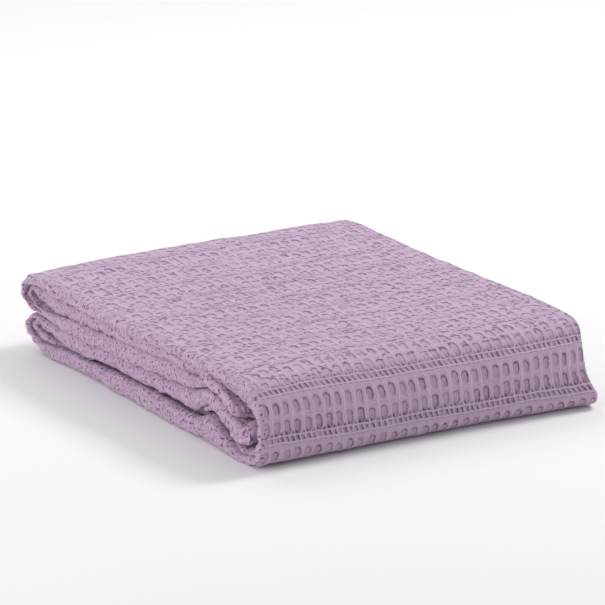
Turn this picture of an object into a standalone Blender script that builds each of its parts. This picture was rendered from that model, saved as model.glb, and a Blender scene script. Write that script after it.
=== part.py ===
"""A waffle weave cotton blanket, folded into a flat pile.

The cloth is 1.6 m wide. Its two sides are folded in to the middle and it is folded in half, so that it
is a band of four plies, 0.4 m wide. The band's two ends are then folded in to the middle and the band is
folded in half once more. The pile's front is the middle of the band, and its left side shows the folded
edges of the plies. All of it is one sheet, so it is one solid.

The pile is worked out in two steps. FOLDS gives the band's route as it is seen from the left: a row for
each place along it, with the band's outer side and inner side. band_section() gives the four plies and
their folded edges across the band at one such place.

Frame: +X to the right, +Y to the back, +Z up, origin at the middle of the underside.
"""

import math

import bmesh
import bpy
from mathutils import Vector

MM = 0.001

WIDTH = 0.400  # the pile across, from fold to fold
DEPTH = 0.470  # the pile from front to back, as FOLDS measures it
HEIGHT = 0.083  # the pile at its sides
CLOTH = 0.0024  # the cloth's thickness
AIR = 0.0002  # the least air on each side of a ply

CROWN = 0.09  # how much higher the pile is in its middle than at its left side, as a share of its height
END_CROWN = 0.6  # the part of the crown that is left at the front, the back and the right side
RIGHT_SPREAD = 0.008  # how far the underside reaches out past the top on the right
RIGHT_REACH = 0.6  # how far the right fold bulges out, as a share of half its height
HEM_SET_IN = 0.006  # from the inside of the right fold to the two hems inside it
SIDE_WAVE = 0.0022  # how far the sides and the ends wander
SIDE_SWAY = {"along": 9, "up": 40, "start": 0.6}  # the sides' wave, in radians for each metre
END_SWAY = {"along": 11, "up": 25, "start": 0}  # the wave of the front and the back

FOLD_STEPS = 5  # straight steps round a folded edge of two plies
WRAP_STEPS = 6  # straight steps round the right edge, a fold of all four
RUN_SHARES = (0.08, 0.24, 0.5, 0.76, 0.92)  # places across a ply between its two ends

# The band's route from the end that lies inside the pile's upper half to the end inside its lower half.
# back: distance from the front. up: height. share: the part of the band's thickness that its two outer
# plies take. outer_in and inner_in: how far the folded left edges of the outer and the inner two plies
# are set in from the left side. All in millimetres, apart from share.
FOLD_COLUMNS = ("outer_back", "outer_up", "inner_back", "inner_up", "share", "outer_in", "inner_in")
FOLDS = {
    "upper_end": (32, 37, 33, 48.5, 0.50, 26, 26),
    "upper_tip": (43, 39.5, 42, 51.5, 0.50, 5, 4),
    "upper_slope": (64, 45, 60, 58, 0.48, 3, 2),
    "upper_hump": (95, 53, 92, 64.5, 0.50, 3, 2),
    "upper_step": (124, 43, 124, 58.5, 0.38, 9, 1),
    "upper_front": (165, 38, 165, 59, 0.28, 10, 1),
    "upper_middle": (233, 36.5, 233, 58, 0.27, 10, 1),
    "upper_back": (330, 34.5, 330, 53, 0.31, 10, 1),
    "upper_dip": (410, 36.5, 405, 50, 0.46, 7, 1),
    "upper_turn_in": (448, 41.5, 440, 52, 0.5, 5, 3),
    "upper_turn_low": (470, 45.5, 457, 54.5, 0.5, 2, 5),
    "upper_turn": (480, 58, 467, 59.5, 0.5, 0, 5),
    "upper_turn_high": (478, 72, 463, 65, 0.5, 0, 5),
    "top_shoulder": (465, 82.5, 450, 62, 0.5, 0, 4),
    "top_back": (438, 86, 425, 56, 0.42, 0, 4),
    "top_dip": (390, 85, 385, 54.5, 0.42, 0, 4),
    "top_middle": (300, 83, 300, 59, 0.42, 0, 4),
    "top_front": (215, 82, 215, 61, 0.42, 0, 4),
    "top_step": (127, 82, 127, 62, 0.44, 0, 5),
    "top_hump": (95, 82, 95, 66, 0.50, 0, 6),
    "top_slope": (60, 82, 62, 62, 0.50, 0, 6),
    "top_edge": (30, 81, 32, 55.5, 0.50, 0, 6),
    "front_shoulder": (9, 75, 14, 51, 0.50, 0, 6),
    "front_high": (-4, 62, 6, 47, 0.50, 0, 6),
    "front_middle": (-10, 45, 2.5, 40, 0.50, 0, 5),
    "front_low": (-12, 24, 2.5, 29, 0.50, 0, 5),
    "front_foot": (-8, 8, 8, 20, 0.50, 0, 5),
    "bottom_toe": (4, 1, 20, 15, 0.55, 1, 5),
    "bottom_edge": (24, 0, 38, 14.5, 0.55, 1, 5),
    "bottom_slope": (62, 0, 67, 19, 0.66, 1, 8),
    "bottom_hump": (95, 0, 96, 28, 0.76, 0, 10),
    "bottom_step": (127, 0, 127, 19.5, 0.69, 0, 10),
    "bottom_middle": (233, 0, 233, 20, 0.70, 0, 10),
    "bottom_back": (330, 0, 330, 18.5, 0.67, 0, 10),
    "bottom_rise": (400, 0, 395, 17.5, 0.64, 0, 8),
    "lower_heel": (440, 3, 425, 19.5, 0.55, 0, 5),
    "lower_turn_low": (464, 13, 449, 23.5, 0.5, 0, 5),
    "lower_turn": (478, 28, 459, 28.5, 0.5, 0, 5),
    "lower_turn_high": (467, 39.5, 449, 30.5, 0.5, 2, 5),
    "lower_turn_out": (446, 39, 434, 26.5, 0.5, 5, 5),
    "lower_dip": (408, 34.5, 400, 20.8, 0.5, 6, 4),
    "lower_back": (330, 32.5, 330, 20.5, 0.52, 9, 3),
    "lower_middle": (233, 34.5, 233, 21.5, 0.45, 9, 3),
    "lower_front": (165, 36.2, 165, 21.5, 0.42, 9, 3),
    "lower_step": (125, 41, 125, 21.2, 0.45, 6, 3),
    "lower_hump": (96, 51, 95, 29.8, 0.5, 0, 1),
    "lower_slope": (64, 43, 67, 21, 0.5, 0, 1),
    "lower_toe": (30, 33.5, 36, 16.5, 0.5, 1, 1),
    "lower_curl": (21, 37, 14, 20, 0.5, 2, 1),
    "lower_lip": (20, 41.5, 8, 31, 0.5, 4, 3),
    "lower_end": (19, 46, 5, 41, 0.5, 26, 26),
}


def fold_places():
    """The rows of FOLDS as dicts, in metres, with the pile's middle at zero along Y."""
    places = []
    for row in FOLDS.values():
        place = dict(zip(FOLD_COLUMNS, row))
        for column in FOLD_COLUMNS:
            if column != "share":
                place[column] *= MM
        place["outer"] = Vector((place["outer_back"] - DEPTH / 2, place["outer_up"]))
        place["inner"] = Vector((place["inner_back"] - DEPTH / 2, place["inner_up"]))
        places.append(place)
    return places


def ply_depths(place):
    """How deep the middle of each of the four plies lies, from the band's outer side."""
    thickness = (place["inner"] - place["outer"]).length
    shared = thickness * place["share"]
    half = CLOTH / 2 + AIR
    return half, shared - half, shared + half, thickness - half


def folded_edge(middle_x, depth_a, depth_b, side, steps, reach=1):
    """Middle and direction (away from the fold's centre) of the cloth round a fold, half an ellipse.

    It runs from depth_a to depth_b, on the left with side -1 and on the right with side 1. middle_x is
    the furthest that the middle of the cloth reaches, and reach is how far the fold bulges, as a share
    of half its height.
    """
    half_height = (depth_b - depth_a) / 2
    bulge = reach * abs(half_height)
    centre_x = middle_x - side * bulge
    centre_depth = (depth_a + depth_b) / 2
    points = []
    for step in range(steps + 1):
        angle = math.pi * (step / steps - 0.5)
        place = (centre_x + side * bulge * math.cos(angle), centre_depth + half_height * math.sin(angle))
        away = Vector((side * math.cos(angle) / bulge, math.sin(angle) / half_height)).normalized()
        points.append((place, (away.x, away.y)))
    return points


def band_section(place):
    """The cloth's two faces across the band: (x, depth) of each, from one hem to the other.

    The cloth starts at a hem inside the right fold, runs left as ply 2, folds over into ply 1, runs
    right, folds round all of the band into ply 4, runs left, and folds into ply 3, which ends in the
    other hem.
    """
    ply = ply_depths(place)
    half = CLOTH / 2
    left = -WIDTH / 2 + half
    right = WIDTH / 2 - half
    outer_fold = folded_edge(left + place["outer_in"], ply[1], ply[0], -1, FOLD_STEPS)
    right_fold = folded_edge(right, ply[0], ply[3], 1, WRAP_STEPS, RIGHT_REACH)
    inner_fold = folded_edge(left + place["inner_in"], ply[3], ply[2], -1, FOLD_STEPS)
    hem_x = right_fold[0][0][0] - HEM_SET_IN

    def run(start_x, end_x, depth, facing):
        return [((start_x + (end_x - start_x) * share, depth), (0, facing)) for share in RUN_SHARES]

    middle = [((hem_x, ply[1]), (0, 1))]
    middle += run(hem_x, outer_fold[0][0][0], ply[1], 1)
    middle += outer_fold
    middle += run(outer_fold[-1][0][0], right_fold[0][0][0], ply[0], -1)
    middle += right_fold
    middle += run(right_fold[-1][0][0], inner_fold[0][0][0], ply[3], 1)
    middle += inner_fold
    middle += run(inner_fold[-1][0][0], hem_x, ply[2], -1)
    middle += [((hem_x, ply[2]), (0, -1))]

    outside = [(p[0] + d[0] * half, p[1] + d[1] * half) for p, d in middle]
    inside = [(p[0] - d[0] * half, p[1] - d[1] * half) for p, d in middle]
    return outside, inside


def wander(sway, along, up):
    return SIDE_WAVE * math.sin(sway["along"] * along + sway["up"] * up + sway["start"])


def settle(x, y, z):
    """The pile's soft shape: fuller in its middle, spread at its lower right, with sides that wander."""
    across = min(1, abs(x) / (WIDTH / 2))
    along = min(1, abs(y) / (DEPTH / 2))
    side_fall = 1 if x < 0 else 1 - END_CROWN
    full = (1 - side_fall * across**4) * (1 - (1 - END_CROWN) * along**6)
    low = max(0, 1 - z / HEIGHT)
    spread = RIGHT_SPREAD * max(0, x / WIDTH + 0.5) ** 6 * low**2
    x_out = x + wander(SIDE_SWAY, y, z) * across + spread
    y_out = y + wander(END_SWAY, x, z) * along
    return Vector((x_out, y_out, z * (1 + CROWN * full)))


def blanket_mesh():
    """The folded cloth as one closed mesh: its two faces, its hems and its two cut ends."""
    mesh = bmesh.new()
    rows = []
    for place in fold_places():
        inward = (place["inner"] - place["outer"]).normalized()
        row = []
        for face in band_section(place):
            points = []
            for x, depth in face:
                at = place["outer"] + inward * depth
                points.append(mesh.verts.new(settle(x, at.x, at.y)))
            row.append(points)
        rows.append(row)
    last = len(rows[0][0]) - 1
    for row, following in zip(rows, rows[1:]):
        for i in range(last):
            mesh.faces.new((row[0][i], row[0][i + 1], following[0][i + 1], following[0][i]))
            mesh.faces.new((row[1][i + 1], row[1][i], following[1][i], following[1][i + 1]))
        for i, flip in ((0, False), (last, True)):
            hem = (row[1][i], row[0][i], following[0][i], following[1][i])
            mesh.faces.new(tuple(reversed(hem)) if flip else hem)
    for row, flip in ((rows[0], False), (rows[-1], True)):
        for i in range(last):
            cut = (row[0][i], row[1][i], row[1][i + 1], row[0][i + 1])
            mesh.faces.new(tuple(reversed(cut)) if flip else cut)
    bmesh.ops.recalc_face_normals(mesh, faces=mesh.faces)
    return mesh


def lilac_cotton():
    material = bpy.data.materials.new("lilac_cotton")
    material.use_nodes = True
    shader = material.node_tree.nodes["Principled BSDF"]
    shader.inputs["Base Color"].default_value = (0.45, 0.32, 0.47, 1)
    shader.inputs["Roughness"].default_value = 0.9
    shader.inputs["Metallic"].default_value = 0.0
    return material


def centre_on_origin(mesh):
    """Moves the mesh so that its box is centred over the origin and stands on z = 0."""
    low = Vector([min(v.co[axis] for v in mesh.verts) for axis in range(3)])
    high = Vector([max(v.co[axis] for v in mesh.verts) for axis in range(3)])
    bmesh.ops.translate(mesh, verts=mesh.verts, vec=(-(low.x + high.x) / 2, -(low.y + high.y) / 2, -low.z))


def make_blanket():
    mesh = blanket_mesh()
    centre_on_origin(mesh)
    data = bpy.data.meshes.new("blanket")
    mesh.to_mesh(data)
    mesh.free()
    data.materials.append(lilac_cotton())
    data.shade_smooth()
    data.set_sharp_from_angle(angle=math.radians(50))
    blanket = bpy.data.objects.new("blanket", data)
    bpy.context.scene.collection.objects.link(blanket)


for old in list(bpy.data.objects):
    bpy.data.objects.remove(old)
make_blanket()
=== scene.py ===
import math

import bpy
import numpy as np
from mathutils import Matrix, Vector


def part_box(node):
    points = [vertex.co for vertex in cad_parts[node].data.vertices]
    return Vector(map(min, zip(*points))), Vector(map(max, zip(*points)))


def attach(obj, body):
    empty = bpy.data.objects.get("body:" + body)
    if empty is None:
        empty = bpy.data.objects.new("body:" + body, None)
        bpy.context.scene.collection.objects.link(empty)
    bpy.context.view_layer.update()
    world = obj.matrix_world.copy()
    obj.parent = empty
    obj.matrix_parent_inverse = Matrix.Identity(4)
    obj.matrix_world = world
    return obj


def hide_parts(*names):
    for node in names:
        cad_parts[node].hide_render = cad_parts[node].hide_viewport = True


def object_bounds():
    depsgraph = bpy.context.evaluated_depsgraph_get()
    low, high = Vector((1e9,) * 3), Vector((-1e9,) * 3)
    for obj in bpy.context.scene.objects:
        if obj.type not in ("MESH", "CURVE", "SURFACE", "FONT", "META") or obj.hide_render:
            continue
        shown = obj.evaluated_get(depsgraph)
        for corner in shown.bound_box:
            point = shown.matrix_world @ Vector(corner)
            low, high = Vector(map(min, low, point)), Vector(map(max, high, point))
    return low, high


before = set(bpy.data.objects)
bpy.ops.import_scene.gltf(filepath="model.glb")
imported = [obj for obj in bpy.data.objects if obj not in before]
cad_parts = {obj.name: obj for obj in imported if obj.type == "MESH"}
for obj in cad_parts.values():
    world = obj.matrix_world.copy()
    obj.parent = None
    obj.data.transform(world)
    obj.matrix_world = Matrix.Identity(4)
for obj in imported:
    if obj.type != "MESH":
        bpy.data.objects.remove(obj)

# A waffle weave cotton blanket, folded into a flat pile. One cloth, woven with bands of open cells and
# with ladders of small square holes between two cords, is folded to a band of four plies and the band is
# folded to a pile. Sizes are in metres, and the weave's own sizes are in millimetres.

MM = 0.001
CAD_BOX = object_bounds()

# ---------------------------------------------------------------- the folds, as the frame has them

WIDTH = 0.400  # the pile across, from fold to fold
DEPTH = 0.470  # the pile from front to back, as FOLDS measures it
HEIGHT = 0.083  # the pile at its sides
CLOTH = 0.0024  # the cloth's thickness
AIR = 0.0002  # the least air on each side of a ply
CROWN = 0.09  # how much higher the pile is in its middle than at its left side, as a share of its height
END_CROWN = 0.6  # the part of the crown that is left at the front, the back and the right side
RIGHT_FLARE = 0.003  # how far the underside reaches out past the top on the right
CORNER_IN, CORNER_BACK = 0.0085, 0.005  # how far the front right corner is drawn in, and back, above its foot
CORNER_FOOT = 0.18  # the foot's share of the height
FOOT_FORWARD = 0.015  # how far the foot of the front reaches forward at its right end
RIGHT_REACH = 0.6  # how far the right fold bulges out, as a share of half its height
LEFT_REACH = 0.8  # how far the folded left edges bulge out, as a share of half their height
HEM_SET_IN = 0.006  # from the inside of the right fold to the two hems inside it
SIDE_WAVE = 0.0022  # how far the sides and the ends wander
SIDE_SWAY = {"along": 9, "up": 40, "start": 0.6}  # the sides' wave, in radians for each metre
END_SWAY = {"along": 11, "up": 25, "start": 0}  # the wave of the front and the back

# The band's route from the end inside the pile's upper half to the end inside its lower half, in
# millimetres. Each place gives outer_back, outer_up, inner_back, inner_up, share, outer_in and inner_in.
# back: distance from the front. up: height. share: the part of the band's thickness that its two outer
# plies take. outer_in and inner_in: how far the folded left edges of the outer and the inner two plies
# are set in from the left side.
FOLDS = {
    "upper_end": (32, 37, 33, 48.5, 0.50, 26, 26),
    "upper_tip": (43, 39.5, 42, 51.5, 0.50, 5, 4),
    "upper_slope": (64, 45, 60, 58, 0.48, 3, 2),
    "upper_hump": (95, 53, 92, 64.5, 0.50, 3, 2),
    "upper_step": (124, 43, 124, 58.5, 0.38, 9, 1),
    "upper_front": (165, 38, 165, 59, 0.28, 10, 1),
    "upper_middle": (233, 36.5, 233, 58, 0.27, 10, 1),
    "upper_back": (330, 34.5, 330, 53, 0.31, 10, 1),
    "upper_dip": (410, 36.5, 405, 50, 0.46, 7, 1),
    "upper_turn_in": (448, 41.5, 440, 52, 0.5, 5, 3),
    "upper_turn_low": (470, 45.5, 457, 54.5, 0.5, 2, 5),
    "upper_turn": (480, 58, 467, 59.5, 0.5, 0, 5),
    "upper_turn_high": (478, 72, 463, 65, 0.5, 0, 5),
    "top_shoulder": (465, 82.5, 450, 62, 0.5, 0, 4),
    "top_back": (438, 86, 425, 56, 0.42, 0, 4),
    "top_dip": (390, 85, 385, 54.5, 0.42, 0, 4),
    "top_middle": (300, 83, 300, 59, 0.42, 0, 4),
    "top_front": (215, 82, 215, 61, 0.42, 0, 4),
    "top_step": (127, 82, 127, 62, 0.44, 0, 5),
    "top_hump": (95, 82, 95, 66, 0.50, 0, 6),
    "top_slope": (60, 82, 62, 62, 0.50, 0, 6),
    "top_edge": (30, 81, 32, 55.5, 0.50, 0, 6),
    "front_shoulder": (9, 75, 14, 51, 0.50, 0, 6),
    "front_high": (-4, 62, 6, 47, 0.50, 0, 6),
    "front_middle": (-10, 45, 2.5, 40, 0.50, 0, 5),
    "front_low": (-12, 24, 2.5, 29, 0.50, 0, 5),
    "front_foot": (-8, 8, 8, 20, 0.50, 0, 5),
    "bottom_toe": (4, 1, 20, 15, 0.55, 1, 5),
    "bottom_edge": (24, 0, 38, 14.5, 0.55, 1, 5),
    "bottom_slope": (62, 0, 67, 19, 0.66, 1, 8),
    "bottom_hump": (95, 0, 96, 28, 0.76, 0, 10),
    "bottom_step": (127, 0, 127, 19.5, 0.69, 0, 10),
    "bottom_middle": (233, 0, 233, 20, 0.70, 0, 10),
    "bottom_back": (330, 0, 330, 18.5, 0.67, 0, 10),
    "bottom_rise": (400, 0, 395, 17.5, 0.64, 0, 8),
    "lower_heel": (440, 3, 425, 19.5, 0.55, 0, 5),
    "lower_turn_low": (464, 13, 449, 23.5, 0.5, 0, 5),
    "lower_turn": (478, 28, 459, 28.5, 0.5, 0, 5),
    "lower_turn_high": (467, 39.5, 449, 30.5, 0.5, 2, 5),
    "lower_turn_out": (446, 39, 434, 26.5, 0.5, 5, 5),
    "lower_dip": (408, 34.5, 400, 20.8, 0.5, 6, 4),
    "lower_back": (330, 32.5, 330, 20.5, 0.52, 9, 3),
    "lower_middle": (233, 34.5, 233, 21.5, 0.45, 9, 3),
    "lower_front": (165, 36.2, 165, 21.5, 0.42, 9, 3),
    "lower_step": (125, 41, 125, 21.2, 0.45, 6, 3),
    "lower_hump": (96, 51, 95, 29.8, 0.5, 0, 1),
    "lower_slope": (64, 43, 67, 21, 0.5, 0, 1),
    "lower_toe": (30, 33.5, 36, 16.5, 0.5, 1, 1),
    "lower_curl": (21, 37, 14, 20, 0.5, 2, 1),
    "lower_lip": (20, 41.5, 8, 31, 0.5, 4, 3),
    "lower_end": (19, 46, 5, 41, 0.5, 26, 26),
}
PLACES = list(FOLDS)

# How much fatter the folded left edges are than the plies behind them, in millimetres: from one place to
# another, outwards and inwards of the outer two plies' edge, then outwards and inwards of the inner two's.
# The last two say how much further in the outer and the inner edge lie.
SWELLS = (
    ("upper_hump", "upper_dip", (0, 0, 3.0, 2.5, 6, 0)),
    ("top_back", "top_slope", (0, 0.5, 0, 2.5, 0, 0)),
    ("bottom_slope", "bottom_rise", (0, 5.4, 0, 0, 0, 12)),
    ("lower_dip", "lower_step", (4.5, 7.4, 0, 0, -3.5, 9)),
    ("lower_hump", "lower_slope", (2.0, 2.5, 0, 0, 1, 6)),
)
SWELL_REACH = 18.0  # how far in from the left side the swelling fades out
BLUNT_LENGTH = 1.04  # how much longer a blunted fold is than a half ellipse
FOLD_BLUNT = 0.72  # how blunt the folded left edges are: 1 is a half ellipse
RIGHT_BLUNT = 0.5  # the same for the right fold


def swell_table():
    table = np.zeros((len(PLACES), 6))
    for first, last, swell in SWELLS:
        table[PLACES.index(first):PLACES.index(last) + 1] = swell
    return table


STEPS_BETWEEN = 40  # fine steps between two places, from which the route's lengths are summed


def smooth_through(values, knots, at):
    """The values at the knots, joined by a smooth curve and read at the places in at."""
    slopes = np.empty_like(values)
    slopes[1:-1] = (values[2:] - values[:-2]) / (knots[2:] - knots[:-2])[:, None]
    slopes[0] = (values[1] - values[0]) / (knots[1] - knots[0])
    slopes[-1] = (values[-1] - values[-2]) / (knots[-1] - knots[-2])
    i = np.clip(np.searchsorted(knots, at, side="right") - 1, 0, len(knots) - 2)
    span = (knots[i + 1] - knots[i])[:, None]
    t = ((at - knots[i])[:, None]) / span
    start = (2 * t**3 - 3 * t**2 + 1) * values[i] + (t**3 - 2 * t**2 + t) * span * slopes[i]
    return start + (3 * t**2 - 2 * t**3) * values[i + 1] + (t**3 - t**2) * span * slopes[i + 1]


class Route:
    """The band's route, smooth through every place in FOLDS."""

    def __init__(self):
        table = np.array([FOLDS[name] for name in PLACES], float)
        middle = (table[:, 0:2] + table[:, 2:4]) / 2
        steps = np.linalg.norm(np.diff(middle, axis=0), axis=1)
        self.table = np.hstack([table, swell_table()])
        self.knots = np.concatenate([[0], np.cumsum(steps)])
        fine = np.interp(np.arange((len(PLACES) - 1) * STEPS_BETWEEN + 1) / STEPS_BETWEEN,
                         np.arange(len(PLACES)), self.knots)
        rows = smooth_through(self.table, self.knots, fine)
        self.fine = fine
        self.outer_length = self.summed(rows[:, 0:2])
        self.inner_length = self.summed(rows[:, 2:4])

    @staticmethod
    def summed(points):
        return np.concatenate([[0], np.cumsum(np.linalg.norm(np.diff(points, axis=0), axis=1))])

    def knot(self, place):
        return self.knots[PLACES.index(place)]

    def lengths(self, at):
        """How far along the cloth the outer and the inner side are at each place, in millimetres."""
        return np.interp(at, self.fine, self.outer_length), np.interp(at, self.fine, self.inner_length)

    def rows(self, first, last, step):
        """Places from one named place to another, about step millimetres apart on the longer side."""
        low, high = self.knot(first), self.knot(last)
        between = (self.fine >= low) & (self.fine <= high)
        fine = self.fine[between]
        grown = np.maximum(np.diff(self.outer_length[between]), np.diff(self.inner_length[between]))
        length = np.concatenate([[0], np.cumsum(grown)])
        count = max(2, round(length[-1] / step))
        return np.interp(np.linspace(0, length[-1], count + 1), length, fine)


ROUTE = Route()

# Across the band the cloth is followed by a number q. From one whole number to the next it crosses:
HEM_PLY, OUTER_FOLD, OUTER_PLY, RIGHT_FOLD, INNER_PLY, INNER_FOLD, LAST_PLY, END = range(8)


def fold_points(middle_x, depth_a, depth_b, side, turn, reach, blunt):
    """Place and outward direction round a fold, a blunted half ellipse, at turn 0 to 1."""
    half_height = (depth_b - depth_a) / 2
    bulge = reach * np.abs(half_height)
    angle = math.pi * (turn - 0.5)
    x = middle_x - side * bulge + side * bulge * np.maximum(np.cos(angle), 0) ** blunt
    depth = (depth_a + depth_b) / 2 + half_height * np.sin(angle)
    away_x, away_depth = side * np.cos(angle) / bulge, np.sin(angle) / half_height
    size = np.hypot(away_x, away_depth)
    return x, depth, away_x / size, away_depth / size


def fold_length(height):
    """The cloth's length round a left fold, from the fold's height."""
    half = np.abs(height) / 2
    return math.pi * np.sqrt((1 + LEFT_REACH**2) / 2) * half * BLUNT_LENGTH


def across(rows, q):
    """x, depth and outward direction of the cloth for each row of the route, in metres, with q a value for
    each row and column. It also gives how thick the band is, and the edges: where the outer and the inner
    left fold begin, the cloth's length round each, and the band's height at the right fold.
    """
    outer = rows[:, 0:2] * MM
    inner = rows[:, 2:4] * MM
    thick = np.linalg.norm(inner - outer, axis=1)[:, None]
    shared = thick * rows[:, 4:5]
    outer_in, inner_in = (rows[:, 5:6] + rows[:, 11:12]) * MM, (rows[:, 6:7] + rows[:, 12:13]) * MM
    swell = [side * rows[:, 7 + ply:8 + ply] * MM for ply, side in enumerate((-1, 1, -1, 1))]
    half, air = CLOTH / 2, CLOTH / 2 + AIR
    ply = (air + 0 * thick, shared - air, shared + air, thick - air)
    edge = [level + more for level, more in zip(ply, swell)]
    left, right = -WIDTH / 2 + half, WIDTH / 2 - half
    left_outer = left + outer_in + LEFT_REACH * np.abs(edge[1] - edge[0]) / 2
    left_inner = left + inner_in + LEFT_REACH * np.abs(edge[3] - edge[2]) / 2
    right_start = right - RIGHT_REACH * np.abs(ply[3] - ply[0]) / 2
    hem = right_start - HEM_SET_IN
    part = np.minimum(np.floor(q).astype(int), LAST_PLY)
    turn = q - part
    found = [np.zeros(q.shape) for _ in range(4)]
    plain = {HEM_PLY: (hem, left_outer, 1, 1), OUTER_PLY: (left_outer, right_start, 0, -1),
             INNER_PLY: (right_start, left_inner, 3, 1), LAST_PLY: (left_inner, hem, 2, -1)}
    for name, (start, end, level, facing) in plain.items():
        x = start + (end - start) * turn
        near_edge = np.clip(1 - (x - np.minimum(start, end)) / (SWELL_REACH * MM), 0, 1)
        depth = ply[level] + swell[level] * near_edge**2 * (3 - 2 * near_edge)
        values = (x, depth, 0 * turn, facing + 0 * turn)
        found = [np.where(part == name, value, kept) for value, kept in zip(values, found)]
    folds = {OUTER_FOLD: (left + outer_in, edge[1], edge[0], -1, LEFT_REACH, FOLD_BLUNT),
             RIGHT_FOLD: (right + 0 * thick, ply[0], ply[3], 1, RIGHT_REACH, RIGHT_BLUNT),
             INNER_FOLD: (left + inner_in, edge[3], edge[2], -1, LEFT_REACH, FOLD_BLUNT)}
    for name, (rim, start, end, side, reach, blunt) in folds.items():
        values = fold_points(rim, start, end, side, turn, reach, blunt)
        found = [np.where(part == name, value, kept) for value, kept in zip(values, found)]
    rounds = [fold_length(edge[side + 1] - edge[side]) for side in (0, 2)]
    return (*found, thick, (left_outer, rounds[0], left_inner, rounds[1], ply[3] - ply[0]))


def wander(sway, along, up):
    return SIDE_WAVE * np.sin(sway["along"] * along + sway["up"] * up + sway["start"])


def settle(x, y, z):
    """The pile's soft shape: fuller in its middle, with sides that wander and a front right corner that is
    drawn in above a foot that reaches forward.
    """
    side = np.minimum(1, np.abs(x) / (WIDTH / 2))
    along = np.minimum(1, np.abs(y) / (DEPTH / 2))
    left_fall = np.where(x < 0, side**4, 0)
    full = (1 - left_fall) * (1 - (1 - END_CROWN) * along**6)
    low = np.maximum(0, 1 - z / HEIGHT)
    rightward = np.maximum(0, x / WIDTH + 0.5)
    spread = RIGHT_FLARE * rightward**6 * low**3
    forward = np.maximum(0, -y / (DEPTH / 2)) ** 4
    corner = rightward**8 * forward
    above_foot = np.clip((z / HEIGHT - CORNER_FOOT) / (1 - CORNER_FOOT), 0, 1)
    waist = 4 * above_foot * (1 - above_foot) * corner
    foot = rightward**2.5 * forward * low**2
    x_out = x + wander(SIDE_SWAY, y, z) * side + spread - CORNER_IN * waist
    y_out = y + wander(END_SWAY, x, z) * along + CORNER_BACK * waist - FOOT_FORWARD * foot
    return np.stack([x_out, y_out, z * (1 + CROWN * full)], axis=-1)


# ---------------------------------------------------------------- the weave

CELL = 12.5  # from one cell to the next across the cloth
REPEAT = 47.0  # from one ladder to the next along the cloth
LADDER_AT_FRONT = 5.4  # from the front shoulder, along the cloth, to the middle of the upper ladder
ROW_SAG = 7.5  # how far the woven rows sink from the left side to the right
SAG_WAVE = 0.62  # how much of a half wave the sinking takes
ROW_OFFSET = 100 * REPEAT  # keeps the measure along the cloth above zero
CORD_AT = 3.5  # from the middle of a ladder to each of its two cords
PLAIN_TO = 7.0  # where the plain strip after the ladder ends
NICK_ACROSS, NICK_ALONG = 6.25, 7.1  # the patches of the small marks between the cells
SMALL_AT, SMALL_HALF = 17.0, 6.0  # the row of small cells: its middle, and half its height
BRIDGE_AT = 25.6  # the bridge of knots between the two rows of cells
TALL_AT, TALL_HALF = 35.3, 6.9  # the row of tall cells
LEGS_FROM = 37.2  # where the ribs part into two legs
CELL_HALF = 3.9  # half of a cell's width
THREADS_APART = 1.15  # half the distance between the two threads of a rib
SLACK, SLACK_ALONG = 2.0, 1.2  # how far the weave wanders across the cloth, and along it
LADDER_LEAN = 0.38  # how far the ladder's holes lean across, for each millimetre along
ROW_SLIP = 9.0  # how far a column of cells slips along the cloth where the cloth lies flat
WOBBLE = 3.2  # how far the fine weave wanders inside a cell
MEASURE = 100.0  # millimetres of cloth for each unit of the weave map
EDGE_FROM, EDGE_TO = 5.0, 13.0  # from the left edge in, where the weave begins to show, and shows whole
FLAT_FROM, FLAT_TO = 0.55, 0.97  # how far upwards the cloth faces where its cells begin to flatten and their painted shade to give way to painted light from above, and where that is whole

# How high the cloth's unevenness is, in millimetres, and how much higher round the folded left edges
LUMP_HEIGHT, LUMP_FOLD = 0.8, 0.6
RIPPLE_HEIGHT, RIPPLE_FOLD = 0.35, 0.75
PUCKER_HEIGHT, PUCKER_FOLD = 0.15, 0.95
FIELD_REACH = 2400  # how much cloth an unevenness covers before it repeats


def noise_field(seed, size, reach):
    """A soft random field on the cloth, from -1 to 1: size is the mean width of a lump, in millimetres."""
    count = int(reach / size) + 8
    grid = np.random.RandomState(seed).uniform(-1, 1, (count, count))

    def field(a, b):
        u, v = np.mod(a / size, count - 1), np.mod(b / size, count - 1)
        i, j = np.floor(u).astype(int), np.floor(v).astype(int)
        s, t = u - i, v - j
        s, t = s * s * (3 - 2 * s), t * t * (3 - 2 * t)
        low = grid[i, j] * (1 - s) + grid[(i + 1) % count, j] * s
        high = grid[i, (j + 1) % count] * (1 - s) + grid[(i + 1) % count, (j + 1) % count] * s
        return low * (1 - t) + high * t

    return field


def cell_chance(seed):
    """A random number from 0 to 1 for each cell, the same all over the cell."""
    grid = np.random.RandomState(seed).uniform(0, 1, (257, 251))
    return lambda i, j: grid[np.mod(i, 257), np.mod(j, 251)]


LUMPS = noise_field(3, 34, FIELD_REACH)
RIPPLES = noise_field(5, 11, FIELD_REACH)
DRIFT_ACROSS = noise_field(7, 46, FIELD_REACH)
DRIFT_ALONG = noise_field(11, 60, FIELD_REACH)
WEAR = noise_field(17, 80, FIELD_REACH)
PUCKERS = noise_field(31, 5.5, FIELD_REACH)
CELL_DEPTH = cell_chance(19)


def ridge(distance, width):
    return np.exp(-((distance / width) ** 2))


def inside(distance, half, edge):
    """1 well inside of half, falling softly to 0 over the width edge."""
    return 1 / (1 + np.exp((np.abs(distance) - half) / edge * 4))


def ease(value, low, high):
    t = np.clip((value - low) / (high - low), 0, 1)
    return t * t * (3 - 2 * t)


def drifted(a, b):
    """The weave's own place for a place on the cloth, as a soft cloth pulls its rows and ribs about."""
    return a + SLACK * DRIFT_ACROSS(a, b) + 0.4 * RIPPLES(a, b), b + SLACK_ALONG * DRIFT_ALONG(a, b)


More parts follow.
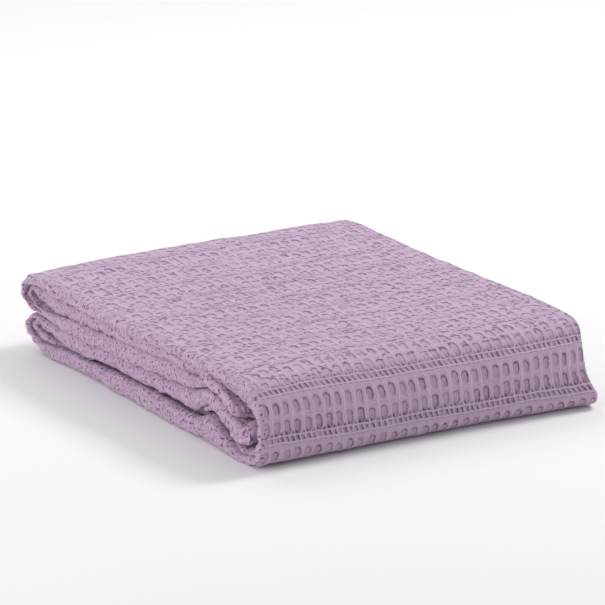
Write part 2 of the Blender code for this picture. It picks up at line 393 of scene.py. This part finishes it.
def waffle_relief(a, b):
    """The weave's broad relief in millimetres, at the weave's own place a across and b along the cloth.

    b runs from the middle of one ladder to the next. After the ladder come a plain strip, a row of small
    cells, a bridge of knots, and a row of tall cells that ends at the next ladder.
    """
    row = np.floor(b / REPEAT).astype(int)
    v = b - REPEAT * row
    near = np.where(v > REPEAT / 2, v - REPEAT, v)
    column = np.floor(a / CELL).astype(int)
    u = a - CELL * column - CELL / 2
    deep = 0.6 + 0.7 * CELL_DEPTH(column, row)
    small = inside(np.hypot(u / CELL_HALF, (v - SMALL_AT) / SMALL_HALF), 1, 0.5)
    tall = inside(u / CELL_HALF, 1, 0.4) * inside(v - TALL_AT, TALL_HALF, 2.0)
    ladder = inside(near, CORD_AT - 0.6, 1.2)
    bridge = inside(v - BRIDGE_AT, 2.2, 1.2)
    rib = ridge(np.abs(u) - CELL / 2, 1.6) * inside(v - 25, 14, 3)
    return 0.5 * rib + 0.25 * bridge - deep * (0.8 * small + 0.95 * tall) - 0.45 * ladder


# ---------------------------------------------------------------- the cloth's pieces

OFF_FLOOR = 0.00002  # the least height of the cloth over the floor, in metres
FOLD_FADE = 0.7  # how much of the weave is pressed out round the folded left edges
RIGHT_MEASURE = 1.4  # the cloth's length round the right fold, as a share of the fold's height


def plain_cloth(at, q):
    """The smooth cloth's places along the route and across the band, and the cloth's measure there.

    at is a value for each row, and q one for each row and column. The measure runs with x on the outer
    ply, so that the ribs run straight over the top and the front, and on round the folds.
    """
    rows = smooth_through(ROUTE.table, ROUTE.knots, at)
    outer, inner = rows[:, 0:2] * MM, rows[:, 2:4] * MM
    x, depth, away_x, away_depth, thick, edges = across(rows, q)
    inward = (inner - outer) / thick
    deep = depth + away_depth * CLOTH / 2
    y = outer[:, 0:1] - DEPTH / 2 + inward[:, 0:1] * deep
    z = outer[:, 1:2] + inward[:, 1:2] * deep
    along = ROUTE.lengths(at)[0][:, None] - ladder_zero() + ROW_OFFSET
    return settle(x + away_x * CLOTH / 2, y, z), unrolled(x / MM, q, edges), along - row_sag(x / MM)


def ladder_zero():
    """How far along the cloth the middle of the upper ladder lies."""
    return ROUTE.lengths(np.array([ROUTE.knot("front_shoulder")]))[0][0] + LADDER_AT_FRONT


def row_sag(x):
    """How far a woven row has sunk at x, in millimetres."""
    half = WIDTH / MM / 2
    return ROW_SAG * np.sin(np.clip((x + half) / (2 * half), 0, 1) * math.pi * SAG_WAVE)


def unrolled(x, q, edges):
    """The measure across the cloth, in millimetres, from x and the way each ply and fold runs."""
    outer_edge, outer_round, inner_edge, inner_round, band_height = (edge / MM for edge in edges)
    part = np.minimum(np.floor(q).astype(int), LAST_PLY)
    turn = q - part
    side = WIDTH / MM
    right_round = RIGHT_MEASURE * band_height
    inner_start = side - inner_edge + right_round
    measures = {
        HEM_PLY: 2 * outer_edge - outer_round - x,
        OUTER_FOLD: outer_edge - outer_round * (1 - turn),
        OUTER_PLY: x,
        RIGHT_FOLD: x + right_round * turn,
        INNER_PLY: side - x + right_round,
        INNER_FOLD: inner_start + inner_round * turn,
        LAST_PLY: inner_start + inner_round + x - inner_edge,
    }
    return np.select([part == name for name in measures], list(measures.values()))


def place_shift():
    """What brings the folded cloth to where the frame has it."""
    at = ROUTE.rows(PLACES[0], PLACES[-1], 6)
    q = np.tile(np.linspace(HEM_PLY, END, 141), (len(at), 1))
    points = plain_cloth(at, q)[0].reshape(-1, 3)
    low, high = points.min(axis=0), points.max(axis=0)
    low_box, high_box = (np.array(corner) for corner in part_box("blanket"))
    shift = (low_box + high_box) / 2 - (low + high) / 2
    shift[2] = low_box[2] - low[2]
    return shift


SHIFT = place_shift()


def q_columns(*stretches):
    """Columns of q: each stretch is (from, to, how many steps)."""
    columns = [np.linspace(start, end, count + 1)[:-1] for start, end, count in stretches]
    return np.append(np.concatenate(columns), stretches[-1][1])


def outward(at, q):
    """Which way the cloth faces."""
    nudge_at, nudge_q = 0.4, 0.004
    down = plain_cloth(at + nudge_at, q)[0] - plain_cloth(at - nudge_at, q)[0]
    side = plain_cloth(at, q + nudge_q)[0] - plain_cloth(at, q - nudge_q)[0]
    normal = np.cross(down, side)
    return normal / np.maximum(np.linalg.norm(normal, axis=2, keepdims=True), 1e-12)


def folded_edge(x, q):
    """1 round the folded left edges, fading to 0 over the first of each ply."""
    part = np.floor(q)
    near_edge = 1 - ease(x + WIDTH / MM / 2, EDGE_FROM, EDGE_TO)
    return np.where((part == OUTER_FOLD) | (part == INNER_FOLD), 1, near_edge)


def weave_piece(name, at, q, material):
    """A stretch of the cloth with its weave, as one piece."""
    q = np.tile(q, (len(at), 1))
    points, a, b = plain_cloth(at, q)
    fold = folded_edge(points[:, :, 0] / MM, q)
    shown = 1 - FOLD_FADE * fold
    weave_a, weave_b = drifted(a, b)
    facing = outward(at, q)
    # how far the cloth faces up: there the relief is flatter, and the cotton paints the cells lighter, as if
    # light fell into them from above
    filled = ease(facing[:, :, 2], FLAT_FROM, FLAT_TO)
    height = waffle_relief(weave_a, weave_b) * shown * (0.85 + 0.3 * WEAR(a, b)) * (1 - 0.6 * filled)
    height += (LUMP_HEIGHT + LUMP_FOLD * fold) * LUMPS(a, b)
    height += (RIPPLE_HEIGHT + RIPPLE_FOLD * fold) * RIPPLES(a, b)
    height += (PUCKER_HEIGHT + PUCKER_FOLD * fold) * PUCKERS(a, b)
    points = points + SHIFT + facing * height[:, :, None] * MM
    points[:, :, 2] = np.maximum(points[:, :, 2], CAD_BOX[0][2] + OFF_FLOOR)
    return grid_object(name, points, (weave_a, weave_b), {"shown": shown, "filled": filled}, material)


def grid_object(name, points, measure, values, material):
    """One mesh from a grid of points."""
    rows, columns = points.shape[:2]
    index = np.arange(rows * columns).reshape(rows, columns)
    corners = (index[:-1, :-1], index[1:, :-1], index[1:, 1:], index[:-1, 1:])
    quads = np.stack(corners, axis=-1).reshape(-1, 4)
    flat = np.stack([value.reshape(-1) for value in measure], axis=-1)
    return mesh_object(name, points.reshape(-1, 3), quads, flat, values, material)


def mesh_object(name, verts, quads, flat, values, material):
    """A piece from its quads, with the weave's measure as a map and the values as attributes."""
    mesh = bpy.data.meshes.new(name)
    mesh.vertices.add(len(verts))
    mesh.vertices.foreach_set("co", verts.reshape(-1))
    mesh.loops.add(quads.size)
    mesh.loops.foreach_set("vertex_index", quads.reshape(-1))
    mesh.polygons.add(len(quads))
    mesh.polygons.foreach_set("loop_start", np.arange(0, quads.size, 4))
    mesh.update(calc_edges=True)
    measure = flat[quads.reshape(-1)] / MEASURE
    mesh.uv_layers.new(name="weave").data.foreach_set("uv", measure.reshape(-1))
    for value_name, value in values.items():
        mesh.attributes.new(value_name, "FLOAT", "POINT").data.foreach_set("value", value.reshape(-1))
    mesh.materials.append(material)
    mesh.shade_smooth()
    mesh.validate()
    piece = bpy.data.objects.new(name, mesh)
    bpy.context.scene.collection.objects.link(piece)
    return piece


# ---------------------------------------------------------------- the cotton

THREAD_HEIGHT, HOLLOW_DEPTH = 0.55, 1.5  # of a bare thread and of a hollow, in millimetres
CELL_ROUND = 2.4  # how squarely the small cells are rounded: 2 is an ellipse

def new_socket(group, name, kind, out=False, value=None):
    socket = group.interface.new_socket(name=name, in_out="OUTPUT" if out else "INPUT", socket_type=kind)
    if value is not None:
        socket.default_value = value
    return socket


class Field:
    """A value that varies over the cloth, worked out in a node tree with plain arithmetic."""

    def __init__(self, tree, socket):
        self.tree, self.socket = tree, socket

    def math(self, operation, *others):
        node = self.tree.nodes.new("ShaderNodeMath")
        node.operation = operation
        for given, value in zip(node.inputs, (self, *others)):
            if isinstance(value, Field):
                self.tree.links.new(value.socket, given)
            else:
                given.default_value = float(value)
        return Field(self.tree, node.outputs[0])

    def __add__(self, other):
        return self.math("ADD", other)

    def __sub__(self, other):
        return self.math("SUBTRACT", other)

    def __mul__(self, other):
        return self.math("MULTIPLY", other)

    def __truediv__(self, other):
        return self.math("DIVIDE", other)

    def __abs__(self):
        return self.math("ABSOLUTE")

    def floor(self):
        return self.math("FLOOR")

    def opposite(self):
        """1 less the value."""
        return self * -1.0 + 1.0

    def over(self, other):
        """The greater of the two."""
        return self.math("MAXIMUM", other)

    def eased(self, low, high, start=0.0, end=1.0):
        """From start at low to end at high, smoothly, and steady outside them."""
        node = self.tree.nodes.new("ShaderNodeMapRange")
        node.interpolation_type = "SMOOTHSTEP"
        self.tree.links.new(self.socket, node.inputs["Value"])
        for name, value in zip(("From Min", "From Max", "To Min", "To Max"), (low, high, start, end)):
            node.inputs[name].default_value = value
        return Field(self.tree, node.outputs["Result"])

    def within(self, half, edge):
        """1 where the value is nearer to 0 than half, falling to 0 over the width edge."""
        return (abs(self) - half).eased(-edge / 2, edge / 2, 1.0, 0.0)

    def line(self, width):
        """1 where the value is 0, falling to 0 at width."""
        return abs(self).eased(0, width, 1.0, 0.0)


def chances(tree, column, row, kind):
    """Three random numbers, 0 to 1, for each column and row."""
    joined = tree.nodes.new("ShaderNodeCombineXYZ")
    tree.links.new(column.socket, joined.inputs["X"])
    tree.links.new(row.socket, joined.inputs["Y"])
    joined.inputs["Z"].default_value = kind
    noise = tree.nodes.new("ShaderNodeTexWhiteNoise")
    noise.noise_dimensions = "3D"
    tree.links.new(joined.outputs[0], noise.inputs["Vector"])
    split = tree.nodes.new("ShaderNodeSeparateXYZ")
    tree.links.new(noise.outputs["Color"], split.inputs[0])
    return [Field(tree, socket) for socket in split.outputs]


# Which random draw each mark of the weave takes
LADDER_HOLES, LADDER_WEDGES, SMALL_CELLS, TALL_CELLS, NICKS, SLIPS = 1, 2, 3, 5, 7, 9


def soft_noise(tree, place, scale, detail):
    node = tree.nodes.new("ShaderNodeTexNoise")
    node.inputs["Scale"].default_value = scale
    node.inputs["Detail"].default_value = detail
    node.inputs["Roughness"].default_value = 0.6
    tree.links.new(place, node.inputs["Vector"])
    return Field(tree, node.outputs["Fac"])


def new_group(name, vector, values, results):
    group = bpy.data.node_groups.new(name, "ShaderNodeTree")
    new_socket(group, vector, "NodeSocketVector")
    for value_name, value in values.items():
        new_socket(group, value_name, "NodeSocketFloat", value=value)
    for result_name in results:
        new_socket(group, result_name, "NodeSocketFloat", out=True)
    return group, group.nodes.new("NodeGroupInput"), group.nodes.new("NodeGroupOutput")


def nick_marks(tree, a, b, thick):
    """Short arcs of painted shade where a yarn dips under, one or none in each small patch of the cloth."""
    column = (a / NICK_ACROSS).floor()
    row = (b / NICK_ALONG).floor()
    size, shift, turn = chances(tree, column, row, NICKS)
    u = a - column * NICK_ACROSS - NICK_ACROSS / 2 + (shift - 0.5) * 1.6
    v = b - row * NICK_ALONG - NICK_ALONG / 2 + (turn - 0.5) * 3.0
    curve = v - (u * u) * 0.14 - u * (turn - 0.35) * 0.8
    reach = size.eased(0.3, 1.0, -0.6, 2.5)
    return (curve / thick).line(1.15) * (abs(u) - reach).eased(-0.7, 0.3, 1.0, 0.0)


class WeavePlace:
    """Where a point lies in the weave: how far it is from its ladder, cell, rib and rung, in millimetres."""

    def __init__(self, group, given):
        self.group, self.measure = group, given.outputs["Weave"]
        split = group.nodes.new("ShaderNodeSeparateXYZ")
        group.links.new(self.measure, split.inputs[0])
        self.filled = Field(group, given.outputs["Faces Up"])
        # where the cloth faces up the painted shade inside the cells gives way, as light falls into them from
        # above
        self.cell_shade = self.filled * -0.95 + 1.0
        self.thicker = self.filled + 1.0
        self.a = Field(group, split.outputs[0]) * MEASURE + (self.noise(16.0, 2.0) - 0.5) * WOBBLE
        b = Field(group, split.outputs[1]) * MEASURE + (self.noise(11.0, 2.0) - 0.5) * WOBBLE
        slip = chances(group, (self.a / CELL).floor(), (b / REPEAT / 2).floor(), SLIPS)[0]
        self.b = b + (slip - 0.5) * self.filled.eased(0.85, 1.0) * ROW_SLIP
        self.row = (self.b / REPEAT).floor()
        self.v = self.b - self.row * REPEAT
        self.ladder = (self.b / REPEAT + 0.5).floor()
        self.near = self.b - self.ladder * REPEAT
        self.column = (self.a / CELL).floor()
        self.u = self.a - self.column * CELL - CELL / 2
        self.from_rib = self.a - (self.a / CELL + 0.5).floor() * CELL
        leaning = self.a - self.near * LADDER_LEAN
        self.rung = (leaning / (CELL / 2) + 0.5).floor()
        self.w = leaning - self.rung * (CELL / 2)
        self.stops = (self.v - (REPEAT - CORD_AT - 0.9)).eased(-0.5, 0.5, 1.0, 0.0)

    def noise(self, scale, detail):
        return soft_noise(self.group, self.measure, scale, detail)


def ladder_holes(at):
    """The ladder's leaning holes, at half the cells' pitch between two cords, dark with painted shade, each
    darker at one side.
    """
    open_hole, hole_side, _ = chances(at.group, at.rung, at.ladder, LADDER_HOLES)
    hole = at.near.within(CORD_AT - 0.9, 0.9) * at.w.within(2.1, 0.8)
    stroke = at.near.within(CORD_AT - 0.8, 0.8) * (at.w - 0.5 - hole_side * 0.6).within(0.9, 0.8)
    return (hole * 0.42 + stroke * 0.85) * (open_hole * 0.8 + 0.5)


def ladder_wedges(at):
    """The wedges of painted shade that widen towards a ladder's first cord."""
    to_cord = at.near + CORD_AT + 1.0
    wedge_open = chances(at.group, at.rung, at.ladder, LADDER_WEDGES)[0] * 0.7 + 0.45
    wedge_half = to_cord.eased(-5.0, 0.0, 0.0, 1.5)
    wedges = (abs(at.w - 0.4) - wedge_half).eased(-0.4, 0.4, 1.0, 0.0) * to_cord.eased(-5.0, -2.5)
    return wedges * to_cord.eased(-0.3, 0.5, 1.0, 0.0) * wedge_open * (at.filled * -0.25 + 0.85)


def small_cells(at):
    """The small cells: a rim of painted shadow, most of it above and at the right, the side nearest the
    light, round a pad of cloth with a little painted shade.
    """
    dark, shift, big = chances(at.group, at.column, at.row, SMALL_CELLS)
    cell_u = at.u + (shift - 0.5) * 1.4
    cell_v = at.v - SMALL_AT + (big - 0.5) * 1.4
    out_u, out_v = abs(cell_u / CELL_HALF), abs(cell_v / SMALL_HALF)
    rounded = out_u.math("POWER", CELL_ROUND) + out_v.math("POWER", CELL_ROUND)
    reach = rounded.math("POWER", 1 / CELL_ROUND) - (big - 0.5) * 0.16
    # the rim's painted shadow is strongest above and at the right, the side nearest the light
    lit_side = cell_u / CELL_HALF * 0.55 - cell_v / SMALL_HALF * 0.6 + 0.42
    lit_side = lit_side.eased(-0.35, 0.95, 0.12, 1.0)
    rim = ((reach - 0.92 + at.filled * 0.12) / at.thicker).line(0.34) * lit_side * (dark * 0.75 + 0.55)
    pad = reach.eased(0.8, 1.0, 1.0, 0.0) * (dark * dark * 0.24 + 0.07) * at.cell_shade
    return rim.over(pad)


def tall_cells(at):
    """The tall cells: arched at the top, and narrowed by the ribs' two legs at the next ladder. Their
    darkness is painted: a shadow along the arch and the right side, and painted shade inside and towards the
    next ladder.
    """
    dark, shift, high = chances(at.group, at.column, at.row, TALL_CELLS)
    tall_u = at.u + (shift - 0.5) * 1.2
    half_width = at.v.eased(LEGS_FROM, REPEAT - CORD_AT) * -1.5 + CELL_HALF + 0.1
    from_arch = at.v - ((tall_u * tall_u) * 0.16 + (high - 0.5) * 2.2 + (TALL_AT - TALL_HALF))
    body = (abs(tall_u) - half_width).eased(-0.5, 0.5, 1.0, 0.0) * at.stops * from_arch.eased(-0.4, 0.6)
    # painted shadow under the arch and along the right side, with painted shade lower down and all over the
    # inside
    arch_shadow = ((from_arch - 0.8 - at.filled * 0.8) / at.thicker).line(1.5) * (at.filled * 0.5 + 1.0)
    right_shadow = (tall_u - half_width + 0.9).line(1.9) * (at.filled * -0.35 + 0.95)
    rim = arch_shadow.over(right_shadow) * 0.66 * (dark * 0.8 + 0.5)
    low_shade = at.v.eased(LEGS_FROM - 3, REPEAT - CORD_AT - 1, 0.0, 0.4) * at.cell_shade
    inner = (dark * 0.22 + 0.1) * at.cell_shade
    return body * (rim.over(low_shade) + inner)


def leg_gaps(at):
    """The gaps between the two legs of each rib, dark with painted shade."""
    half = at.v.eased(LEGS_FROM, REPEAT - CORD_AT, -0.6, 1.9)
    gap = (abs(at.from_rib) - half).eased(-0.4, 0.4, 1.0, 0.0)
    return gap * at.stops * at.v.eased(LEGS_FROM, LEGS_FROM + 2) * (at.filled * -0.3 + 0.6)


def rib_threads(at):
    """The two threads of each rib, parting at the ladders and crossing at the bridge."""
    together = at.v.eased(CORD_AT + 1, PLAIN_TO) * at.v.eased(LEGS_FROM, REPEAT - CORD_AT, 1.0, 0.0)
    cross = (at.v - BRIDGE_AT).eased(-4, 4, -1.0, 1.0)
    apart = together.opposite() * (CELL / 4) + together * abs(cross) * THREADS_APART
    through = at.v - (PLAIN_TO + REPEAT - CORD_AT) / 2
    return (abs(at.from_rib) - apart).line(0.95) * through.within((REPEAT - CORD_AT - PLAIN_TO) / 2, 3.0)


def waffle_weave_group():
    """The woven pattern: its height in millimetres, how far it dips into hollows, which the cotton also
    darkens as painted shade, and how much of the raised threads shows, which the cotton also lightens as a
    painted highlight.
    """
    group, given, result = new_group("waffle_weave", "Weave", {"Shown": 1.0, "Faces Up": 0.0},
                                     ("Height", "Hollow Shade", "Thread Highlight"))
    at = WeavePlace(group, given)
    cords = (abs(at.near) - CORD_AT).line(1.15) * (at.filled * -0.7 + 1.0)
    dashes = (at.near - CORD_AT - 1.5).line(0.9) * (at.w + 0.8).within(1.7, 1.0) * 0.55
    rungs = at.near.within(CORD_AT, 1.0) * (abs(at.w) - CELL / 4).line(0.8)
    threads = rib_threads(at)
    knots = (at.v - BRIDGE_AT).within(2.0, 1.6) * at.noise(46.0, 1.0).eased(0.52, 0.66)

    # round the folded edges the weave is pressed out, and only nicks and pits are left of it, both dark with
    # painted shade
    shown = Field(group, given.outputs["Shown"])
    speckle = at.noise(30.0, 2.0).eased(0.35, 0.65, 0.5, 1.05)
    on_fold = (shown.opposite() * 1.5).math("MINIMUM", 1.0)
    nick_depth = (at.filled.eased(0.6, 1.0) * 0.8 + 0.18).over(on_fold * 0.3)
    nicks = nick_marks(group, at.a, at.b, at.filled * 1.1 + 1.0) * nick_depth
    pits = at.noise(34.0, 1.0).eased(0.57, 0.65) * on_fold

    clear = (threads * 0.75).opposite()
    cells = (small_cells(at) + tall_cells(at) + leg_gaps(at)) * clear
    ladder = ladder_holes(at) * (rungs * 0.7).opposite() + dashes + ladder_wedges(at) * clear
    woven = (ladder * (cords * 0.9).opposite() + cells) * speckle
    # the hollows dip the cloth, and the cotton darkens them with painted shade
    hollow_shade = (woven.over(nicks * clear) * shown).over(nicks).over(pits)
    # the raised threads lift the cloth, and the cotton lightens them as a painted highlight
    thread = (cords + threads * 0.8 + rungs * 0.5 + knots * 0.7) * shown
    height = thread * THREAD_HEIGHT - hollow_shade * HOLLOW_DEPTH
    for name, field in (("Height", height), ("Hollow Shade", hollow_shade), ("Thread Highlight", thread)):
        group.links.new(field.socket, result.inputs[name])
    return group


def cotton_yarn_group():
    """Fine spun yarn over and under, with its fuzz: a height, and a tone that varies from 0 to 1."""
    group, given, result = new_group("cotton_yarn", "Weave", {"Yarn": 110.0, "Fuzz": 0.4}, ("Height", "Tone"))

    def wave(direction, scale_by):
        node = group.nodes.new("ShaderNodeTexWave")
        node.wave_type = "BANDS"
        node.bands_direction = direction
        node.inputs["Distortion"].default_value = 1.4
        node.inputs["Detail"].default_value = 2.0
        node.inputs["Detail Scale"].default_value = 1.6
        scale = Field(group, given.outputs["Yarn"]) * scale_by
        group.links.new(scale.socket, node.inputs["Scale"])
        group.links.new(given.outputs["Weave"], node.inputs["Vector"])
        return Field(group, node.outputs["Fac"])

    yarns = wave("X", 0.28).over(wave("Y", 0.34)) * 0.7
    fuzz = soft_noise(group, given.outputs["Weave"], 260.0, 3.0) * Field(group, given.outputs["Fuzz"])
    tone = yarns * 0.35 + soft_noise(group, given.outputs["Weave"], 42.0, 3.0) * 0.75
    group.links.new((yarns + fuzz).socket, result.inputs["Height"])
    group.links.new(tone.socket, result.inputs["Tone"])
    return group


COTTON_LIGHT = (0.560, 0.398, 0.568, 1)
COTTON_MID = (0.480, 0.326, 0.485, 1)
# the dark plum is painted shade, which the hollows take
COTTON_SHADE = (0.150, 0.070, 0.140, 1)
# the light lilac is a painted highlight, which the raised threads take
COTTON_HIGHLIGHT = (0.640, 0.500, 0.640, 1)
DEEPEST_SHADE, BRIGHTEST_HIGHLIGHT = 0.95, 0.85  # how much of their own colour the deepest hollows take as painted shade, and the fullest thread marks as a painted highlight


def blend(material, factor, first, second):
    """A colour between two, each a constant or a socket."""
    node = material.node_tree.nodes.new("ShaderNodeMix")
    node.data_type = "RGBA"
    material.node_tree.links.new(factor, node.inputs["Factor"])
    for socket, colour in ((node.inputs["A"], first), (node.inputs["B"], second)):
        if isinstance(colour, tuple):
            socket.default_value = colour
        else:
            material.node_tree.links.new(colour, socket)
    return node.outputs["Result"]


def lilac_cotton(name, weave_group, yarn_group):
    material = bpy.data.materials.new(name)
    material.use_nodes = True
    tree = material.node_tree
    nodes, links = tree.nodes, tree.links
    shader = nodes["Principled BSDF"]
    shader.inputs["Roughness"].default_value = 0.92
    shader.inputs["Specular IOR Level"].default_value = 0.25
    shader.inputs["Sheen Weight"].default_value = 0.45
    shader.inputs["Sheen Roughness"].default_value = 0.5
    shader.inputs["Sheen Tint"].default_value = (0.93, 0.86, 0.96, 1)
    measure = nodes.new("ShaderNodeUVMap")
    measure.uv_map = "weave"
    shown = nodes.new("ShaderNodeAttribute")
    shown.attribute_name = "shown"
    weave = nodes.new("ShaderNodeGroup")
    weave.node_tree = weave_group
    links.new(measure.outputs["UV"], weave.inputs["Weave"])
    links.new(shown.outputs["Fac"], weave.inputs["Shown"])
    filled = nodes.new("ShaderNodeAttribute")
    filled.attribute_name = "filled"
    links.new(filled.outputs["Fac"], weave.inputs["Faces Up"])
    yarn = nodes.new("ShaderNodeGroup")
    yarn.node_tree = yarn_group
    yarn.inputs["Fuzz"].default_value = 0.5
    links.new(measure.outputs["UV"], yarn.inputs["Weave"])
    # painted shade: the hollows are blended towards the dark plum
    hollow_shade = (Field(tree, weave.outputs["Hollow Shade"]) * DEEPEST_SHADE).math("MINIMUM", 1.0)
    # painted highlight: the raised threads are blended towards the light lilac
    thread_highlight = Field(tree, weave.outputs["Thread Highlight"]) * BRIGHTEST_HIGHLIGHT
    plain = blend(material, yarn.outputs["Tone"], COTTON_MID, COTTON_LIGHT)
    highlighted = blend(material, thread_highlight.socket, plain, COTTON_HIGHLIGHT)
    links.new(blend(material, hollow_shade.socket, highlighted, COTTON_SHADE), shader.inputs["Base Color"])
    height = Field(tree, weave.outputs["Height"]) + Field(tree, yarn.outputs["Height"]) * 0.3
    bump = nodes.new("ShaderNodeBump")
    bump.inputs["Strength"].default_value = 0.8
    bump.inputs["Distance"].default_value = MM
    links.new(height.socket, bump.inputs["Height"])
    links.new(bump.outputs["Normal"], shader.inputs["Normal"])
    return material


# ---------------------------------------------------------------- building it

BACK_STEP, TOP_STEP, FRONT_STEP, SIDE_STEP = 1.7, 1.35, 1.05, 1.8  # between the rows, in millimetres

# How wide a piece is laid flat, across the band: one with the outer ply and the folds beside it, one with an
# inner ply and its fold, and one with both plies and their folds
WHOLE_WIDTH, INNER_WIDTH, EDGES_WIDTH = 0.45, 0.42, 0.87


def declare(piece):
    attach(piece, "root")
    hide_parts("blanket")


def make_blanket():
    cotton = lilac_cotton("lilac_cotton_waffle", waffle_weave_group(), cotton_yarn_group())
    whole = q_columns((HEM_PLY + 0.95, OUTER_FOLD, 10), (OUTER_FOLD, OUTER_PLY, 9),
                      (OUTER_PLY, RIGHT_FOLD, 350), (RIGHT_FOLD, INNER_PLY, 16),
                      (INNER_PLY, INNER_PLY + 0.04, 8))
    edges = q_columns((HEM_PLY + 0.92, OUTER_FOLD, 14), (OUTER_FOLD, OUTER_PLY, 10),
                      (OUTER_PLY, OUTER_PLY + 0.06, 10), (OUTER_PLY + 0.06, OUTER_PLY + 0.94, 40),
                      (OUTER_PLY + 0.94, RIGHT_FOLD, 10), (RIGHT_FOLD, INNER_PLY, 14),
                      (INNER_PLY, INNER_PLY + 0.05, 8), (INNER_PLY + 0.05, INNER_PLY + 0.92, 8),
                      (INNER_PLY + 0.92, INNER_FOLD, 16), (INNER_FOLD, LAST_PLY, 10),
                      (LAST_PLY, LAST_PLY + 0.08, 16))
    inner = q_columns((INNER_PLY + 0.04, INNER_PLY + 0.9, 8), (INNER_PLY + 0.9, INNER_FOLD, 18),
                      (INNER_FOLD, LAST_PLY, 10), (LAST_PLY, LAST_PLY + 0.1, 18))
    back = ROUTE.rows("upper_turn", "top_front", BACK_STEP)
    top = ROUTE.rows("top_front", "top_edge", TOP_STEP)
    front = ROUTE.rows("top_edge", "bottom_edge", FRONT_STEP)
    whole_top = ROUTE.rows("upper_turn", "top_edge", SIDE_STEP)
    bottom = ROUTE.rows("bottom_edge", "lower_turn", SIDE_STEP)
    upper = ROUTE.rows("upper_end", "upper_turn", SIDE_STEP)
    lower = ROUTE.rows("lower_turn", "lower_end", SIDE_STEP)
    outer_ply, inner_ply = 0, 1
    for name, at, q, width, side in (
        ("blanket_top_back", back, whole, WHOLE_WIDTH, outer_ply),
        ("blanket_top", top, whole, WHOLE_WIDTH, outer_ply),
        ("blanket_front", front, whole, WHOLE_WIDTH, outer_ply),
        ("blanket_top_inner_fold", whole_top, inner, INNER_WIDTH, inner_ply),
        ("blanket_front_inner_fold", front, inner, INNER_WIDTH, inner_ply),
        ("blanket_underside", bottom, edges, EDGES_WIDTH, outer_ply),
        ("blanket_upper_half", upper, edges, EDGES_WIDTH, outer_ply),
        ("blanket_lower_half", lower, edges, EDGES_WIDTH, outer_ply),
    ):
        piece = weave_piece(name, at, q, cotton)
        declare(piece)


# ---------------------------------------------------------------- floor, light and camera

AIM = (0.053, 0.083, 0.05)  # where the camera looks, before SHIFT is added
AZIMUTH = math.radians(31.7)
ELEVATION = math.radians(16.5)
DISTANCE = 4.377
LENS = 243.7


def add_camera():
    ahead = Vector((math.sin(AZIMUTH) * math.cos(ELEVATION), math.cos(AZIMUTH) * math.cos(ELEVATION),
                    -math.sin(ELEVATION)))
    right = Vector((math.cos(AZIMUTH), -math.sin(AZIMUTH), 0))
    camera = bpy.data.objects.new("camera", bpy.data.cameras.new("camera"))
    place = Matrix((right, right.cross(ahead), -ahead)).transposed().to_4x4()
    place.translation = Vector(AIM) + Vector(SHIFT) - ahead * DISTANCE
    camera.matrix_world = place
    camera.data.lens = LENS
    camera.data.sensor_width = 36
    camera.data.clip_end = 60
    bpy.context.scene.collection.objects.link(camera)
    bpy.context.scene.camera = camera


def add_light(name, place, aim, size, watts, colour):
    light = bpy.data.lights.new(name, "AREA")
    light.shape = "RECTANGLE"
    light.size, light.size_y = size
    light.energy = watts
    light.color = colour
    lamp = bpy.data.objects.new(name, light)
    lamp.location = place
    lamp.rotation_euler = (Vector(aim) - Vector(place)).to_track_quat("-Z", "Y").to_euler()
    bpy.context.scene.collection.objects.link(lamp)


def add_studio():
    bpy.ops.mesh.primitive_plane_add(size=30, location=(0, 0, CAD_BOX[0][2] - 0.0002))
    floor = bpy.context.object
    floor.name = "studio_floor"
    paper = bpy.data.materials.new("studio_paper")
    paper.use_nodes = True
    shader = paper.node_tree.nodes["Principled BSDF"]
    shader.inputs["Base Color"].default_value = (0.86, 0.86, 0.87, 1)
    shader.inputs["Roughness"].default_value = 0.8
    floor.data.materials.append(paper)
    world = bpy.data.worlds.new("studio")
    world.use_nodes = True
    world.node_tree.nodes["Background"].inputs["Color"].default_value = (1, 1, 1, 1)
    world.node_tree.nodes["Background"].inputs["Strength"].default_value = 0.49
    bpy.context.scene.world = world
    add_light("key_panel", (1.9, 0.1, 1.9), (0, 0, 0), (0.8, 0.8), 38, (1, 1, 1))
    add_light("back_panel", (0.2, 2.0, 1.9), (0, 0, 0), (2.0, 1.4), 19, (1, 1, 1))
    add_light("left_panel", (-2.5, 0.1, 0.9), (0, 0, 0.05), (1.4, 1.2), 29, (1, 0.965, 0.975))
    add_light("front_panel", (0.3, -2.6, 0.9), (0, 0, 0.05), (1.4, 1.2), 3, (1, 0.965, 0.975))
    view = bpy.context.scene.view_settings
    view.view_transform = "Standard"
    view.look = "None"
    view.exposure = 0
    view.gamma = 1


add_camera()
add_studio()
make_blanket()
